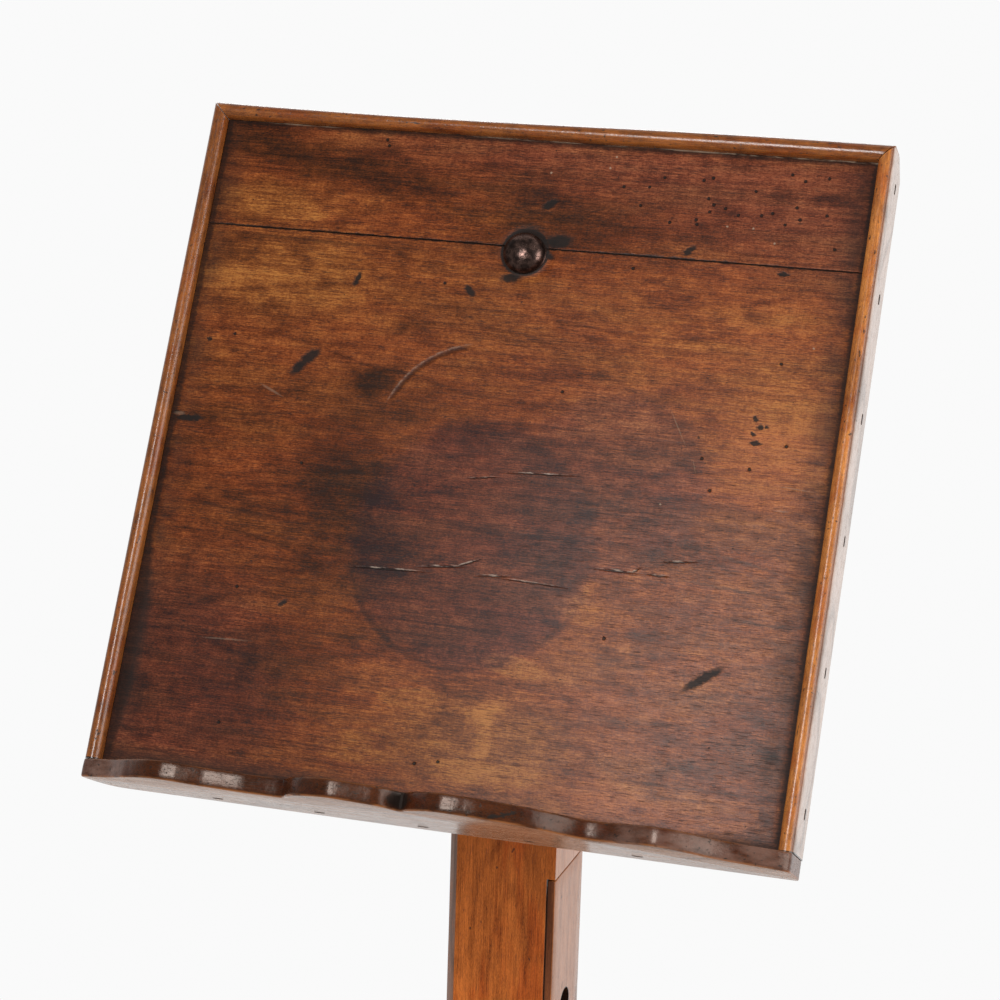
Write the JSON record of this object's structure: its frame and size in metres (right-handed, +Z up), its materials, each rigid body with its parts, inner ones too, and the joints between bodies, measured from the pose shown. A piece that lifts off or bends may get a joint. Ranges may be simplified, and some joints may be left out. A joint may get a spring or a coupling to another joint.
{
  "type": "reading stand",
  "caption": "Wooden reading stand: a sloping edged board with a wavy book ledge, bolted to a square column that slides in a box pedestal on a cross foot and is set by a turned peg.",
  "frame": {"origin": "on the floor under the centre of the column", "axes": "+Z up, +X to the reader's right, the reader stands on the -Y side"},
  "size_m": [0.53, 0.53, 1.3675],
  "materials": {
    "board_wood": "waxed, worn satin",
    "edge_wood": "waxed, glossy",
    "ledge_wood": "dark, polished by hands",
    "column_wood": "waxed satin",
    "slip_wood": "waxed satin",
    "pedestal_wood": "waxed satin",
    "peg_wood": "turned, polished by hands",
    "iron": "blackened, worn"
  },
  "bodies": {
    "pedestal": {"box_board_front": "pedestal_wood", "box_board_back": "pedestal_wood", "box_board_left": "pedestal_wood", "box_board_right": "pedestal_wood", "box_block": "pedestal_wood", "collar_front": "edge_wood", "collar_back": "edge_wood", "collar_left": "edge_wood", "collar_right": "edge_wood", "bracket_front": "pedestal_wood", "bracket_back": "pedestal_wood", "bracket_left": "pedestal_wood", "bracket_right": "pedestal_wood", "foot_beam_front_back": "pedestal_wood", "foot_beam_left_right": "pedestal_wood", "foot_dowel": "pedestal_wood", "foot_pad_front": "pedestal_wood", "foot_pad_back": "pedestal_wood", "foot_pad_left": "pedestal_wood", "foot_pad_right": "pedestal_wood"},
    "column": {"column_post": "column_wood", "column_slip": "slip_wood", "plank_lower": "board_wood", "plank_upper": "board_wood", "edge_strip_left": "edge_wood", "edge_strip_right": "edge_wood", "edge_strip_top": "edge_wood", "book_ledge": "ledge_wood", "batten_left": "column_wood", "batten_right": "column_wood", "desk_bolt": "iron", "bolt_washer": "iron", "bolt_nut": "iron", "edge_brad_left_1": "iron", "edge_brad_left_2": "iron", "edge_brad_left_3": "iron", "edge_brad_left_4": "iron", "edge_brad_left_5": "iron", "edge_brad_left_6": "iron", "edge_brad_right_1": "iron", "edge_brad_right_2": "iron", "edge_brad_right_3": "iron", "edge_brad_right_4": "iron", "edge_brad_right_5": "iron", "edge_brad_right_6": "iron", "edge_brad_top_1": "iron", "edge_brad_top_2": "iron", "edge_brad_top_3": "iron", "ledge_brad_1": "iron", "ledge_brad_2": "iron", "ledge_brad_3": "iron", "ledge_brad_4": "iron", "ledge_brad_5": "iron", "batten_nail_left_1": "iron", "batten_nail_left_2": "iron", "batten_nail_left_3": "iron", "batten_nail_right_1": "iron", "batten_nail_right_2": "iron", "batten_nail_right_3": "iron"},
    "peg": {"height_peg": "peg_wood"}
  },
  "joints": [
    {"name": "column_lift", "type": "slide", "parent": "pedestal", "child": "column", "axis": [0, 0, 1], "range_m": [0, 0.24]},
    {"name": "peg_pull", "type": "slide", "parent": "column", "child": "peg", "axis": [1, 0, 0], "range_m": [0, 0.13]}
  ]
}
